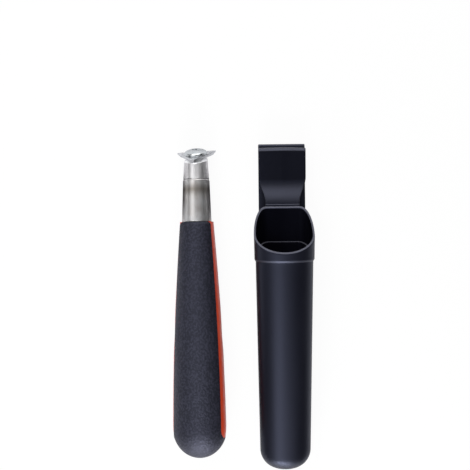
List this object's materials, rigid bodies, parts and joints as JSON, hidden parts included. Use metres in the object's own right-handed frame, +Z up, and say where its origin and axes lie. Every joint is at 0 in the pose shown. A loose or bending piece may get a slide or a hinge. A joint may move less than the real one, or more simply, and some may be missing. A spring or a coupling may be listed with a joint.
{
  "type": "paint scraper",
  "caption": "Pocket paint scraper with a screwed-on triangular carbide blade and a two-part handle, lying beside its slant-mouthed plastic belt holster.",
  "frame": {"origin": "centre of the two tools' common outline, on the surface that they lie on", "axes": "+Y along both tools, towards the blade and the holster's mouth; +Z up, out of their fronts; the scraper is on the -X side"},
  "size_m": [0.0868, 0.2022, 0.0403],
  "materials": {
    "carbide": "ground grey hard metal",
    "bright_steel": "bright zinc-plated steel",
    "satin_metal": "satin nickel plate",
    "plated_metal": "smooth chrome plate",
    "plain_steel": "drawn bar",
    "orange_core": "smooth moulded",
    "black_grip": "fine stippled soft grip",
    "holster_plastic": "satin moulded"
  },
  "bodies": {
    "scraper": {"blade_head": "satin_metal", "ferrule": "plated_metal", "shank": "plain_steel", "handle_core": "orange_core", "soft_grip": "black_grip"},
    "washer": {"cup_washer": "bright_steel"},
    "screw": {"blade_screw": "bright_steel"},
    "cutter": {"blade": "carbide"},
    "holster": {"holster_pouch": "holster_plastic", "belt_clip": "holster_plastic"}
  },
  "joints": [
    {"name": "washer_lift", "type": "slide", "parent": "scraper", "child": "washer", "axis": [-0.0843, 0.949, 0.3039], "range_m": [0, 0.0072]},
    {"name": "screw_turn", "type": "hinge", "parent": "washer", "child": "screw", "pos_m": [-0.02944, 0.09156, 0.00909], "axis": [-0.0843, 0.949, 0.3039], "range_deg": [0, 3240]},
    {"name": "blade_turn", "type": "hinge", "parent": "scraper", "child": "cutter", "pos_m": [-0.02944, 0.09156, 0.00909], "axis": [-0.0843, 0.949, 0.3039], "continuous": true},
    {"name": "holster_lift", "type": "slide", "parent": "scraper", "child": "holster", "axis": [0, 0, 1], "range_m": [0, 0.12]}
  ],
  "couplings": [
    {"joint": "screw_turn", "follows": "washer_lift", "rad_per_m": 7854}
  ]
}
